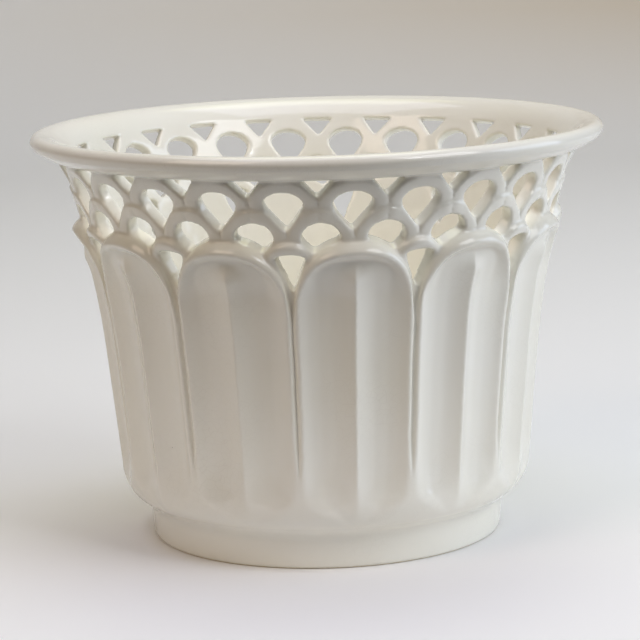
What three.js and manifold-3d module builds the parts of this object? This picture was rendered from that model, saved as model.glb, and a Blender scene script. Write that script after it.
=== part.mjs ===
// A pierced and fluted flower pot of glazed cream-coloured earthenware.
// Twelve arch-topped panels stand round the wall, each with two hollow flutes, and over
// them an open lattice of overlapping scales carries a wide turned-out rim.
// Millimetres, +Z up. The origin is on the axis, in the plane that the foot stands on.
// The middle of one panel faces -Y.

import * as THREE from 'three';
import { mergeVertices } from 'three/addons/utils/BufferGeometryUtils.js';
import Module from 'manifold-3d';

const wasm = await Module();
wasm.setup();

// Clearance between two formed pieces
const JOINT = 0.3;

// Foot ring and floor
const FOOT_RADIUS = 64.8;       // at the edge that the pot stands on
const FOOT_SPREAD = 1.2;        // how much wider the foot is at its top
const FOOT_HEIGHT = 14.1;
const FOOT_WIDTH = 6.2;
const FOOT_EDGE = 0.9;          // softened edges at the standing face
const FLOOR_THICKNESS = 5.4;
const FLOOR_SEAT = 1.4;         // how far the floor reaches over the foot ring
const COVE_HEIGHT = 13.2;       // rise of the rounded corner between floor and wall

// Bowl: the outer face of the panels, from the foot up to the neck
const WALL = 7;                 // from the face of the panels through to the smooth inside
const BOWL_LEDGE = 0.3;         // how far the bowl stands out over the foot at their joint
const BOWL_SWELL = 10.1;        // width of the rounded underside
const BOWL_ROUND = 14.1;        // height of the rounded underside
const SIDE_HEIGHT = 43.5;       // straight side, from the belly to the waist
const SIDE_SPREAD = 4.4;
const FLARE_BEND = 290;         // radius of the gentle outward bend above the waist
const NECK_BEND = 70;           // radius of the tighter bend below the rim
const NECK_ABOVE_CROWN = 7.5;   // where that tighter bend starts

// Arch-topped panels, measured on the wall unrolled at DRAWN_RADIUS from the axis
const PANEL_COUNT = 12;
const DRAWN_RADIUS = 84;
const SPRING_ABOVE_WAIST = 24;  // where the sides of a panel start to close
const ARCH_RISE = 24.5;
const GROOVE_WIDTH = 2.8;
const GROOVE_DEPTH = 2.5;       // from the panel face back to the ground and the lattice
const GROOVE_ABOVE_BELLY = 7;   // pointed lower end of the groove between two panels
const GROOVE_POINT = 13;        // length over which the groove opens to its full width
const GROOVE_NARROW = 4.3;      // length over which it opens to half of that
const BROW_RISE = 2.2;          // how far the arch stands proud of the panel face
const BROW_LENGTH = 18.5;       // height over which it comes forward
const BROW_ROLL = 4;            // height of the rounding above its ridge

// Flutes, two hollows in each panel
const BORDER = 0.6;             // edge left between a hollow and the groove beside it
const BORDER_TOP = 8.6;         // from the crown of the arch to the back of the scoop below it
const SCOOP_SLOPE = 0.8;        // how the scoop rises outward to the ridge of the brow
const FLUTE_SPRING_DROP = 8;    // how far below the panel's spring the flutes start to close
const FLUTE_DEPTH = 2.5;
const FLUTE_CREST = 0.2;        // how far the middle crest lies below the panel face
const FLUTE_BELOW_BELLY = 4;    // where the hollows have faded out, near the foot
const FLUTE_FADE = 16;
const FLUTE_LIFT = 1.8;         // how far the cut leaves the face at its faded end

// Pierced lattice, with heights measured from the crown of the panels
const LATTICE_HEIGHT = 21.2;
const TONGUE = 19.5;            // how far the lattice reaches down between two panels
const NOTCH_WIDTH = 9.3;        // flat-topped notches under the rim
const NOTCH_DEPTH = 5.6;
const FAN_WIDTH = 13;
const FAN_TIP = 3.6;
const FAN_SHOULDER = 12.5;
const FAN_ARCH = 4.8;           // rise of the round top above the shoulder
const EYE_WIDTH = 12.8;         // eyes that rest on the arches of the panels
const EYE_SHOULDER = 0.9;
const EYE_ARCH = 5.6;
const EYE_LOWER = 6;            // depth of the eye below its shoulder
const EYE_FOOT = 1.6;           // half width of its flat lower end
const DROP_WIDTH = 9.4;         // drops under the small arch between two panels
const DROP_SHOULDER = 6.2;      // below the crown
const DROP_ARCH = 2.2;
const DROP_LENGTH = 10.3;
const BRIDGE_RIB = 3.9;         // small raised arch that spans from panel to panel
const BRIDGE_SPRING_DROP = 5.9; // where it springs, below the shoulder of the drop
const BRIDGE_SIDE = 4.6;        // width of its band beside the drop
const BRIDGE_PROUD = 0.5;       // in front of the panel face
const SIDE_HOLLOW = 0.42;       // how far along and in the hollow sides of a hole are drawn
const HOLE_SLOPE = 0.4;         // how far a hole rises for each millimetre inward

// Turned-out rim
const RIM_HEIGHT = 9.5;
const RIM_OVERHANG = 9.77;      // from the lattice out to the edge of the lip
const RIM_TIP = 5.9;            // height of the outermost edge above the lattice
const CREST_WIDTH = 2.6;        // from the outermost edge in to the top of the lip
const LIP_UNDER = 4.2;          // height of the lip's lower edge above the lattice
const LIP_SET_BACK = 0.8;
const LIP_SOFTNESS = 0.4;
const COVE_SWEEP = 4.2;         // how the cove under the rim hollows in
const COVE_RISE = 1.4;
const INNER_SWEEP = 4.2;        // how the slope inside the rim rounds over to the crest

// Fineness of the facets
const FACETS_PER_PANEL = 4;
const ARCH_STEPS = 8;
const HOLE_STEPS = 5;
const FLUTE_STEPS = 4;
const FLUTE_RUNS = 9;
const LIP_STEPS = 3;
const SIDE_ROWS = 4;
const BROW_ROWS = 3;
const ROLL_ROWS = 2;
const INSIDE_ROWS = 3;
const LATTICE_ROWS = 4;
const LATTICE_INSIDE_ROWS = 2;

// Sizes and levels that follow from these
const FOOT_TOP_RADIUS = FOOT_RADIUS + FOOT_SPREAD;
const FLOOR_RADIUS = FOOT_RADIUS - FOOT_WIDTH + FLOOR_SEAT;
const FLOOR_BOTTOM = FOOT_HEIGHT + JOINT;
const FLOOR_TOP = FLOOR_BOTTOM + FLOOR_THICKNESS;
const UNDER_RADIUS = FOOT_TOP_RADIUS + BOWL_LEDGE;
const BELLY_RADIUS = UNDER_RADIUS + BOWL_SWELL;
const BELLY_HEIGHT = FLOOR_BOTTOM + BOWL_ROUND;
const WAIST_HEIGHT = BELLY_HEIGHT + SIDE_HEIGHT;
const SIDE_SLOPE = SIDE_SPREAD / SIDE_HEIGHT;
const ARCH_SPRING = WAIST_HEIGHT + SPRING_ABOVE_WAIST;
const CROWN = ARCH_SPRING + ARCH_RISE;
const NECK_HEIGHT = CROWN + NECK_ABOVE_CROWN;
const LATTICE_BOTTOM = CROWN - TONGUE;
const LATTICE_TOP = CROWN + LATTICE_HEIGHT;
const RIM_BOTTOM = LATTICE_TOP + JOINT;
const BROW_RIDGE = CROWN - BROW_ROLL;
const BROW_START = BROW_RIDGE - BROW_LENGTH;
const GROOVE_START = BELLY_HEIGHT + GROOVE_ABOVE_BELLY;
const FLUTE_END = BELLY_HEIGHT - FLUTE_BELOW_BELLY;
const PITCH = (2 * Math.PI) / PANEL_COUNT;
const HALF_PITCH = (DRAWN_RADIUS * PITCH) / 2;
const PANEL_HALF_WIDTH = HALF_PITCH - GROOVE_WIDTH / 2;
const FLUTE_HALF_WIDTH = PANEL_HALF_WIDTH - BORDER;

// Radius of the panel face at height z
function faceRadius(z) {
  if (z < BELLY_HEIGHT) {
    const drop = (BELLY_HEIGHT - z) / BOWL_ROUND;
    return UNDER_RADIUS + BOWL_SWELL * Math.sqrt(Math.max(0, 1 - drop * drop));
  }
  const flare = Math.max(0, z - WAIST_HEIGHT) ** 2 / (2 * FLARE_BEND);
  const neck = Math.max(0, z - NECK_HEIGHT) ** 2 / (2 * NECK_BEND);
  return BELLY_RADIUS + SIDE_SLOPE * (z - BELLY_HEIGHT) + flare + neck;
}

const insideRadius = (z) => faceRadius(z) - WALL;
const groundRadius = (z) => faceRadius(z) - GROOVE_DEPTH;

// Reach of the cutting bodies, clear of the wall on both sides
const CUT_INNER = insideRadius(GROOVE_START) - WALL / 2;
const CUT_OUTER = faceRadius(LATTICE_TOP) + WALL;

// Radius of the panel with its brow, which swells towards the top of the arch
function browRadius(z) {
  const rise = THREE.MathUtils.smoothstep(z, BROW_START, BROW_RIDGE);
  const over = Math.max(0, z - BROW_RIDGE) / (BROW_ROLL + JOINT);
  const roll = BROW_RISE * (1 - Math.sqrt(Math.max(0, 1 - over * over)));
  return faceRadius(z) + BROW_RISE * rise - roll;
}

// Evenly spaced values from first to last
function steps(first, last, count) {
  return Array.from({ length: count + 1 }, (_, i) => first + ((last - first) * i) / count);
}

// Points of a profile that follows a radius function between two heights
function follow(radius, low, high, count) {
  return steps(low, high, count).map((z) => new THREE.Vector2(radius(z), z));
}

// Points of an elliptical arc, angles in turns of a right angle
function arc(cx, cy, rx, ry, from, to, count) {
  return steps(from, to, count).map((q) => {
    const a = (q * Math.PI) / 2;
    return new THREE.Vector2(cx + rx * Math.cos(a), cy + ry * Math.sin(a));
  });
}

// A body as a solid that can be joined and cut
function solid(geometry) {
  const bare = geometry.clone();
  bare.deleteAttribute('normal');
  bare.deleteAttribute('uv');
  const merged = mergeVertices(bare, 1e-4);
  const index = merged.index.array;
  const kept = [];
  for (let i = 0; i < index.length; i += 3) {
    const [a, b, c] = [index[i], index[i + 1], index[i + 2]];
    if (a !== b && b !== c && c !== a) kept.push(a, b, c);
  }
  return new wasm.Manifold(new wasm.Mesh({
    numProp: 3,
    vertProperties: merged.attributes.position.array,
    triVerts: new Uint32Array(kept),
  }));
}

// A closed profile of radius and height turned round the upright axis
function turned(profile) {
  const geometry = new THREE.LatheGeometry(profile, PANEL_COUNT * FACETS_PER_PANEL);
  geometry.rotateX(Math.PI / 2);
  return solid(geometry);
}

const closed = (points) => [...points, points[0].clone()];

// An outline drawn on the unrolled wall, laid flat against a wall of the given radius
function laidOn(radius, outline) {
  return outline.map((p) => {
    const across = radius(p.y) * Math.sin(p.x / DRAWN_RADIUS);
    return new THREE.Vector2(across, p.y);
  });
}

// A straight-sided cutting body driven through the wall at an angle round the pot.
// Its outline keeps its height on the ground surface at the level named, and it runs
// downward to the outside by its lean, or upward where the lean is below zero.
function punch(outline, angle, lean = 0, level = 0) {
  const geometry = new THREE.ExtrudeGeometry(new THREE.Shape(outline), {
    depth: CUT_OUTER - CUT_INNER, bevelEnabled: false,
  });
  const place = geometry.attributes.position;
  for (let i = 0; i < place.count; i += 1) {
    const out = CUT_INNER + place.getZ(i);
    const across = place.getX(i);
    const x = across * Math.cos(angle) + out * Math.sin(angle);
    const y = across * Math.sin(angle) - out * Math.cos(angle);
    const fall = lean * (out - groundRadius(level));
    place.setXYZ(i, x, y, place.getY(i) - fall);
  }
  return solid(geometry);
}

// The same shape repeated round the pot, starting at a given part of the pitch
function ring(make, count, start) {
  const parts = [];
  for (let k = 0; k < count; k += 1) {
    parts.push(make(((k + start) * 2 * Math.PI) / count));
  }
  return parts;
}

const joined = (parts) => parts.reduce((sum, part) => sum.add(part));
const cutFrom = (body, parts) => parts.reduce((rest, part) => rest.subtract(part), body);

const mirrored = (points) => points.map((p) => new THREE.Vector2(-p.x, p.y)).reverse();

// A panel's outline, grown by a clearance: the arch, the sides, and the lower end, where
// neighbours run together and leave a pointed groove above
function panelOutline(grow) {
  const half = PANEL_HALF_WIDTH + grow;
  const right = [
    ...arc(0, ARCH_SPRING, half, ARCH_RISE + grow, 1, 0, ARCH_STEPS),
    new THREE.Vector2(half, GROOVE_START + GROOVE_POINT),
    new THREE.Vector2((half + HALF_PITCH) / 2, GROOVE_START + GROOVE_NARROW),
    new THREE.Vector2(HALF_PITCH + JOINT, GROOVE_START - JOINT),
    new THREE.Vector2(HALF_PITCH + JOINT, GROOVE_START - GROOVE_DEPTH),
  ];
  return laidOn(faceRadius, [...right, ...mirrored(right).slice(0, -1)]);
}

// Two flutes side by side as one cutting body that follows the face of a panel
function fluteCutter(angle) {
  const width = FLUTE_HALF_WIDTH;
  const reach = width + JOINT;
  const dip = (x) => {
    const across = (Math.abs(x) / width) * 2 - 1;
    const hollow = 1 - across * across;
    const middle = 1 - Math.abs(x) / width;
    return -FLUTE_DEPTH * hollow - FLUTE_CREST * middle;
  };
  const floor = steps(-reach, reach, 2 * FLUTE_STEPS).map((x) => new THREE.Vector2(x, dip(x)));
  const above = GROOVE_DEPTH + BROW_RISE * 2;
  const section = [...floor, new THREE.Vector2(reach, above), new THREE.Vector2(-reach, above)];
  const height = CROWN - FLUTE_END + FLUTE_FADE;
  const geometry = new THREE.ExtrudeGeometry(new THREE.Shape(section), {
    depth: height, steps: FLUTE_RUNS, bevelEnabled: false,
  });
  const place = geometry.attributes.position;
  for (let i = 0; i < place.count; i += 1) {
    const z = FLUTE_END - FLUTE_FADE / 2 + place.getZ(i);
    const depth = THREE.MathUtils.smoothstep(z, FLUTE_END, FLUTE_END + FLUTE_FADE);
    const y = place.getY(i);
    const cut = y > 0 ? y : y * depth + FLUTE_LIFT * (1 - depth);
    const out = faceRadius(Math.max(z, BELLY_HEIGHT)) + cut;
    const around = angle - place.getX(i) / DRAWN_RADIUS;
    place.setXYZ(i, out * Math.sin(around), -out * Math.cos(around), z);
  }
  const spring = ARCH_SPRING - FLUTE_SPRING_DROP;
  const arch = arc(0, spring, reach, CROWN - BORDER_TOP - spring, 1, 0, ARCH_STEPS - 2);
  const right = [...arch, new THREE.Vector2(reach, FLUTE_END - FLUTE_FADE)];
  const window = laidOn(faceRadius, [...right, ...mirrored(right).slice(0, -1)]);
  return solid(geometry).intersect(punch(window, angle, -SCOOP_SLOPE, CROWN - BORDER_TOP));
}

// Foot ring that the pot stands on
function footRing() {
  const inner = FOOT_RADIUS - FOOT_WIDTH;
  return turned(closed([
    new THREE.Vector2(inner + FOOT_EDGE, 0),
    new THREE.Vector2(FOOT_RADIUS - FOOT_EDGE, 0),
    new THREE.Vector2(FOOT_RADIUS, FOOT_EDGE),
    new THREE.Vector2(FOOT_TOP_RADIUS, FOOT_HEIGHT),
    new THREE.Vector2(inner, FOOT_HEIGHT),
    new THREE.Vector2(inner, FOOT_EDGE),
  ]));
}

// Flat disc that closes the bottom of the bowl
function floorDisc() {
  return turned([
    new THREE.Vector2(0, FLOOR_BOTTOM),
    new THREE.Vector2(FLOOR_RADIUS, FLOOR_BOTTOM),
    new THREE.Vector2(FLOOR_RADIUS, FLOOR_TOP),
    new THREE.Vector2(0, FLOOR_TOP),
  ]);
}

// Bowl wall with its twelve panels
function flutedWall() {
  const seat = FLOOR_RADIUS + JOINT;
  const coveTop = FLOOR_TOP + COVE_HEIGHT;
  const coveWidth = insideRadius(coveTop) - seat;
  const top = CROWN + JOINT;
  const under = arc(UNDER_RADIUS, BELLY_HEIGHT, BOWL_SWELL, BOWL_ROUND, -1, 0, SIDE_ROWS);
  const side = follow(faceRadius, BELLY_HEIGHT, BROW_START, SIDE_ROWS).slice(1);
  const brow = follow(browRadius, BROW_START, BROW_RIDGE, BROW_ROWS).slice(1);
  const roll = follow(browRadius, BROW_RIDGE, top, ROLL_ROWS).slice(1);
  const inside = follow(insideRadius, coveTop, top, INSIDE_ROWS).reverse();
  const cove = arc(seat, coveTop, coveWidth, COVE_HEIGHT, 0, -1, INSIDE_ROWS).slice(1);
  const floorSide = new THREE.Vector2(seat, FLOOR_BOTTOM);
  const blank = turned(closed([...under, ...side, ...brow, ...roll, ...inside, ...cove, floorSide]));
  const gapBelt = closed([
    new THREE.Vector2(CUT_INNER + JOINT, GROOVE_START - JOINT),
    new THREE.Vector2(CUT_OUTER - WALL, GROOVE_START - JOINT),
    new THREE.Vector2(CUT_OUTER - WALL, top + JOINT),
    new THREE.Vector2(CUT_INNER + JOINT, top + JOINT),
  ]);
  const core = turned([
    new THREE.Vector2(0, FLOOR_BOTTOM),
    ...follow(groundRadius, BELLY_HEIGHT, LATTICE_BOTTOM - JOINT, SIDE_ROWS),
    new THREE.Vector2(0, LATTICE_BOTTOM - JOINT),
  ]);
  const panels = ring((a) => punch(panelOutline(0), a), PANEL_COUNT, 0);
  const gaps = cutFrom(turned(gapBelt), [core, ...panels]);
  const flutes = ring(fluteCutter, PANEL_COUNT, 0);
  return cutFrom(blank.subtract(gaps), flutes);
}

// Flat-topped notch under the rim, with hollow sides that run down to a point
function notchOutline() {
  const half = NOTCH_WIDTH / 2;
  const tip = LATTICE_TOP - NOTCH_DEPTH;
  const bend = new THREE.Vector2(half * SIDE_HOLLOW, tip + NOTCH_DEPTH * SIDE_HOLLOW);
  const right = [
    new THREE.Vector2(half, LATTICE_TOP + NOTCH_DEPTH),
    new THREE.Vector2(half, LATTICE_TOP),
    bend,
  ];
  return [...right, new THREE.Vector2(0, tip), ...mirrored(right)];
}

// Fan-shaped hole: a round top, and hollow sides that run down to a point
function fanOutline(half, shoulder, rise, tip) {
  const crown = arc(0, shoulder, half, rise, 0, 2, HOLE_STEPS);
  const bend = new THREE.Vector2(-half * SIDE_HOLLOW, tip + (shoulder - tip) * SIDE_HOLLOW);
  return [...crown, bend, new THREE.Vector2(0, tip), new THREE.Vector2(-bend.x, bend.y)];
}

// Eye-shaped hole. On its left it opens onto the arch of the panel below, which closes it,
// and on its right it follows the small arch that spans to the next panel.
function eyeOutline() {
  const half = EYE_WIDTH / 2;
  const shoulder = CROWN + EYE_SHOULDER;
  const lower = shoulder - EYE_LOWER;
  const crown = arc(0, shoulder, half, EYE_ARCH, 0, 2, HOLE_STEPS);
  return [
    ...crown,
    new THREE.Vector2(-half, shoulder - EYE_LOWER / 2),
    new THREE.Vector2(-EYE_FOOT, lower - GROOVE_DEPTH),
    new THREE.Vector2(EYE_FOOT, lower),
    new THREE.Vector2(half * (1 - SIDE_HOLLOW / 2), lower + EYE_LOWER * SIDE_HOLLOW),
  ];
}

// Small raised arch that spans between two panels
function bridge(angle) {
  const spring = CROWN - DROP_SHOULDER - BRIDGE_SPRING_DROP;
  const rise = BRIDGE_SPRING_DROP + DROP_ARCH + BRIDGE_RIB;
  const half = DROP_WIDTH / 2 + BRIDGE_SIDE;
  const top = arc(0, spring, half, rise, 0, 2, ARCH_STEPS - 2);
  return punch(laidOn(faceRadius, top), angle);
}

// A row of equal holes round the pot, drawn on the ground surface and cut rising inward
function pierced(outline, count, start) {
  const heights = outline.map((p) => p.y);
  const level = (Math.min(...heights) + Math.max(...heights)) / 2;
  const flat = laidOn(groundRadius, outline);
  return ring((a) => punch(flat, a, HOLE_SLOPE, level), count, start);
}

// Lattice wall, open between the arches below and under the rim above
function piercedLattice() {
  const outer = follow(groundRadius, LATTICE_BOTTOM, LATTICE_TOP, LATTICE_ROWS);
  const inner = follow(insideRadius, LATTICE_BOTTOM, LATTICE_TOP, LATTICE_INSIDE_ROWS).reverse();
  const band = turned(closed([...outer, ...inner]));
  const shoulder = CROWN - DROP_SHOULDER;
  const low = shoulder - BRIDGE_SPRING_DROP * 2;
  const high = shoulder + DROP_ARCH + BRIDGE_RIB + JOINT;
  const front = follow((z) => faceRadius(z) + BRIDGE_PROUD, low, high, ROLL_ROWS);
  const back = follow((z) => faceRadius(z) - WALL / 2, low, high, ROLL_ROWS).reverse();
  const belt = turned(closed([...front, ...back]));
  const bridges = joined(ring(bridge, PANEL_COUNT, 0.5)).intersect(belt);
  const fan = fanOutline(FAN_WIDTH / 2, CROWN + FAN_SHOULDER, FAN_ARCH, CROWN + FAN_TIP);
  const drop = fanOutline(DROP_WIDTH / 2, shoulder, DROP_ARCH, shoulder - DROP_LENGTH);
  const cells = PANEL_COUNT * 2;
  const holes = [
    ...ring((a) => punch(panelOutline(JOINT), a), PANEL_COUNT, 0),
    ...pierced(notchOutline(), cells, 0.5),
    ...pierced(fan, cells, 0),
    ...pierced(eyeOutline(), PANEL_COUNT, 0.25),
    ...pierced(mirrored(eyeOutline()), PANEL_COUNT, 0.75),
    ...pierced(drop, PANEL_COUNT, 0.5),
  ];
  return cutFrom(band.add(bridges), holes);
}

// Rim that turns out over the lattice, with a rounded lip and a cove under it
function turnedRim() {
  const inner = insideRadius(RIM_BOTTOM);
  const outer = groundRadius(RIM_BOTTOM);
  const edge = outer + RIM_OVERHANG;
  const crest = RIM_BOTTOM + RIM_HEIGHT;
  const under = RIM_BOTTOM + LIP_UNDER;
  const profile = new THREE.Path();
  profile.moveTo(inner, RIM_BOTTOM);
  profile.lineTo(outer, RIM_BOTTOM);
  profile.quadraticCurveTo(outer + COVE_SWEEP, RIM_BOTTOM + COVE_RISE, edge - LIP_SET_BACK, under);
  profile.quadraticCurveTo(edge, under + LIP_SOFTNESS, edge, RIM_BOTTOM + RIM_TIP);
  profile.quadraticCurveTo(edge, crest, edge - CREST_WIDTH, crest);
  profile.quadraticCurveTo(inner + INNER_SWEEP, crest, inner, RIM_BOTTOM);
  return turned(closed(profile.getPoints(LIP_STEPS).slice(0, -1)));
}

// A finished piece as a named mesh with its own glaze
function piece(name, body, colour) {
  const mesh = body.getMesh();
  const geometry = new THREE.BufferGeometry();
  geometry.setAttribute('position', new THREE.BufferAttribute(mesh.vertProperties, 3));
  geometry.setIndex(new THREE.BufferAttribute(mesh.triVerts, 1));
  geometry.computeVertexNormals();
  const glaze = new THREE.MeshStandardMaterial({ color: colour, roughness: 0.18, metalness: 0 });
  const node = new THREE.Mesh(geometry, glaze);
  node.name = name;
  return node;
}

const pot = new THREE.Group();
pot.add(piece('foot_ring', footRing(), 0xe9e4d8));
pot.add(piece('floor_disc', floorDisc(), 0xece7da));
pot.add(piece('fluted_wall', flutedWall(), 0xebe6da));
pot.add(piece('pierced_lattice', piercedLattice(), 0xece7da));
pot.add(piece('turned_rim', turnedRim(), 0xeeeadf));

export default pot;
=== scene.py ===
# %% [markdown]
# A pierced flower pot of cream-coloured earthenware, with a clear lead glaze.
# The real pot is pressed or cast in a plaster mould, pierced by hand with a knife while the
# clay is leather hard, and fired twice. Nothing on it moves, so the lesson has one piece and
# one finish. Both need care: soft glaze-filled corners, and a gloss that shows every form.

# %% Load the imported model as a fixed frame
import math
import time

import bpy
import numpy as np
from mathutils import Matrix, Vector


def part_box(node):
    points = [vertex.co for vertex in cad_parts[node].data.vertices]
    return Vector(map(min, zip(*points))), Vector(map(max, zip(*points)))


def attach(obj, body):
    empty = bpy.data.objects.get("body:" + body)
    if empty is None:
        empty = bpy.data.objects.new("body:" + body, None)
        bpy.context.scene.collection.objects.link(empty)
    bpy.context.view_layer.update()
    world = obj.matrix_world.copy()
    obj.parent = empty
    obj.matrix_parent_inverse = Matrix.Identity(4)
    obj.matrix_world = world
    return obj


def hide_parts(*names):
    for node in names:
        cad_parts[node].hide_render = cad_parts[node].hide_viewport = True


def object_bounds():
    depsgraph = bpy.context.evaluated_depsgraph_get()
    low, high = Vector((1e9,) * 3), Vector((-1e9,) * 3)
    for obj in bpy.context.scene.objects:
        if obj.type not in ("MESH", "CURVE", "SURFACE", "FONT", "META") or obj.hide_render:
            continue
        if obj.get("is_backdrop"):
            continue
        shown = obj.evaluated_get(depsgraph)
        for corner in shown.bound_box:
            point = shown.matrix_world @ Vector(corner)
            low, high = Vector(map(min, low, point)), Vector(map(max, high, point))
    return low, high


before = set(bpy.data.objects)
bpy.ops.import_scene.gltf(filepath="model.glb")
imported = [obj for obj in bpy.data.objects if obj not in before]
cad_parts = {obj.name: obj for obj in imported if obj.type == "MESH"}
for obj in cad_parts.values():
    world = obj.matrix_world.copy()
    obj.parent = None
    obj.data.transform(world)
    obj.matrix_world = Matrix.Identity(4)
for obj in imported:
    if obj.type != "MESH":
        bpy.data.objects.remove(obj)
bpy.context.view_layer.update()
started = time.time()

# %% [markdown]
# The sizes come first. Heights and radii that the construction fixes are read from the
# frame, so the glazed surface fits the solids. The finer sizes, such as the width of a
# groove or the depth of a flute, can't be read from a box, so each is written in
# millimetres in the cell that first needs it.

# %% Sizes, in millimetres
MM = 0.001


def level(node, top):
    """Height of a node's lowest or highest point."""
    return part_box(node)[1 if top else 0].z / MM


def reach(node):
    """Largest radius of a node."""
    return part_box(node)[1].x / MM


FOOT_TOP_RADIUS = reach("foot_ring")
FLOOR_BOTTOM = level("floor_disc", False)
FLOOR_TOP = level("floor_disc", True)
FLOOR_RADIUS = reach("floor_disc")
CROWN = level("fluted_wall", True)
LATTICE_TOP = level("pierced_lattice", True)
RIM_BOTTOM = level("turned_rim", False)
RIM_TOP = level("turned_rim", True)
RIM_RADIUS = reach("turned_rim")
print(f"rim {2 * RIM_RADIUS:.1f} wide, crown of the arches at {CROWN:.1f}, top at {RIM_TOP:.1f}")

# %% [markdown]
# The wall's profile is a straight side, a gentle flare and a tighter bend under the rim,
# and below the belly a quarter of an ellipse that tucks in over the foot. On the real pot
# the plaster mould gives this curve, so here one function gives it to every other part.

# %% Profile of the panel face
BOWL_LEDGE = 0.3
BOWL_SWELL = 10.1
BOWL_ROUND = 14.1
UNDER_RADIUS = FOOT_TOP_RADIUS + BOWL_LEDGE
BELLY_RADIUS = UNDER_RADIUS + BOWL_SWELL
BELLY_HEIGHT = FLOOR_BOTTOM + BOWL_ROUND
SIDE_HEIGHT = 43.5
SIDE_SPREAD = 4.4
FLARE_BEND = 290.0
NECK_BEND = 70.0
NECK_ABOVE_CROWN = 7.5
WAIST_HEIGHT = BELLY_HEIGHT + SIDE_HEIGHT
NECK_HEIGHT = CROWN + NECK_ABOVE_CROWN


def face(z):
    """Radius of the panel face at height z."""
    side = SIDE_SPREAD / SIDE_HEIGHT * (z - BELLY_HEIGHT)
    flare = np.maximum(0, z - WAIST_HEIGHT) ** 2 / (2 * FLARE_BEND)
    neck = np.maximum(0, z - NECK_HEIGHT) ** 2 / (2 * NECK_BEND)
    drop = np.clip((BELLY_HEIGHT - z) / BOWL_ROUND, 0, 1)
    under = UNDER_RADIUS + BOWL_SWELL * np.sqrt(1 - drop * drop)
    return np.where(z < BELLY_HEIGHT, under, BELLY_RADIUS + side + flare + neck)


def lean(z):
    """How far the wall leans out for each millimetre of height."""
    flare = np.maximum(0, z - WAIST_HEIGHT) / FLARE_BEND
    neck = np.maximum(0, z - NECK_HEIGHT) / NECK_BEND
    return SIDE_SPREAD / SIDE_HEIGHT + flare + neck


def wall_line(offset, low, high, count):
    """Points of the face profile, moved in or out by an offset."""
    z = np.linspace(low, high, count)
    return list(zip(face(z) + offset, z))


def curve(start, bend, end, count):
    """Points of a quadratic curve after its start."""
    t = np.linspace(0, 1, count + 1)[1:, None]
    start, bend, end = map(np.array, (start, bend, end))
    return [tuple(p) for p in (1 - t) ** 2 * start + 2 * t * (1 - t) * bend + t * t * end]


bends = np.array([BELLY_HEIGHT, WAIST_HEIGHT, CROWN])
print("face radius at belly, waist and crown:", np.round(face(bends), 1))

# %% [markdown]
# Two closed cross-sections carry everything that is round. The first is the whole pot with
# its wall at the level of the lattice, and the second is the thicker belt that the panels
# are carved from. Each is an outline of a few named points joined by curves. The back of
# the belt lies far inside the wall, where no carving reaches it, and is cut off later.

# %% Cross-sections
FOOT_RADIUS = FOOT_TOP_RADIUS - 1.2
FOOT_WIDTH = 6.2
FOOT_EDGE = 1.1
FOOT_JOIN = 4.0
RECESS_BEND = 3.0
WALL = 7.0
COVE_HEIGHT = 13.2
COVE_INSET, COVE_PULL = 3.0, 0.5
GROOVE_DEPTH = 2.5
BELT_DEEP = 16.0
BELT_TOP = CROWN + 3.0
PAST_AXIS = -5.0

foot_inner = FOOT_RADIUS - FOOT_WIDTH
recess = (foot_inner - RECESS_BEND, FLOOR_BOTTOM)
lattice_inner = face(RIM_BOTTOM) - WALL
lattice_outer = face(RIM_BOTTOM) - GROOVE_DEPTH
lip_under = (RIM_RADIUS - 1.2, RIM_BOTTOM + 4.3)
lip_edge = (RIM_RADIUS, RIM_BOTTOM + 6.7)
lip_top = (RIM_RADIUS - 2.6, RIM_TOP)
mouth = (lattice_inner + 0.2, RIM_BOTTOM + 0.4)
cove_top = (face(FLOOR_TOP + COVE_HEIGHT) - WALL, FLOOR_TOP + COVE_HEIGHT)

body_section = [
    (PAST_AXIS, FLOOR_BOTTOM),
    recess,
    *curve(recess, (foot_inner, FLOOR_BOTTOM), (foot_inner, FLOOR_BOTTOM - RECESS_BEND), 4),
    (foot_inner, FOOT_EDGE),
    *curve((foot_inner, FOOT_EDGE), (foot_inner, 0), (foot_inner + FOOT_EDGE, 0), 4),
    (FOOT_RADIUS - FOOT_EDGE, 0),
    *curve((FOOT_RADIUS - FOOT_EDGE, 0), (FOOT_RADIUS, 0), (FOOT_RADIUS, FOOT_EDGE), 4),
    (FOOT_TOP_RADIUS, FLOOR_BOTTOM),
    (FOOT_TOP_RADIUS, FLOOR_BOTTOM + FOOT_JOIN),
    *wall_line(-GROOVE_DEPTH, BELLY_HEIGHT, RIM_BOTTOM, 40),
    *curve((lattice_outer, RIM_BOTTOM), (lattice_outer + 4.2, RIM_BOTTOM + 1.4), lip_under, 8),
    *curve(lip_under, (RIM_RADIUS - 0.1, lip_edge[1] - 0.9), lip_edge, 4),
    *curve(lip_edge, (RIM_RADIUS - 0.3, RIM_TOP - 0.6), lip_top, 6),
    *curve(lip_top, (mouth[0] + 4.2, RIM_TOP), mouth, 12),
    *reversed(wall_line(-WALL, cove_top[1], RIM_BOTTOM, 40)),
    *curve(cove_top, (cove_top[0] - COVE_PULL, FLOOR_TOP), (FLOOR_RADIUS - COVE_INSET, FLOOR_TOP), 10),
    (PAST_AXIS, FLOOR_TOP),
]
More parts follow.
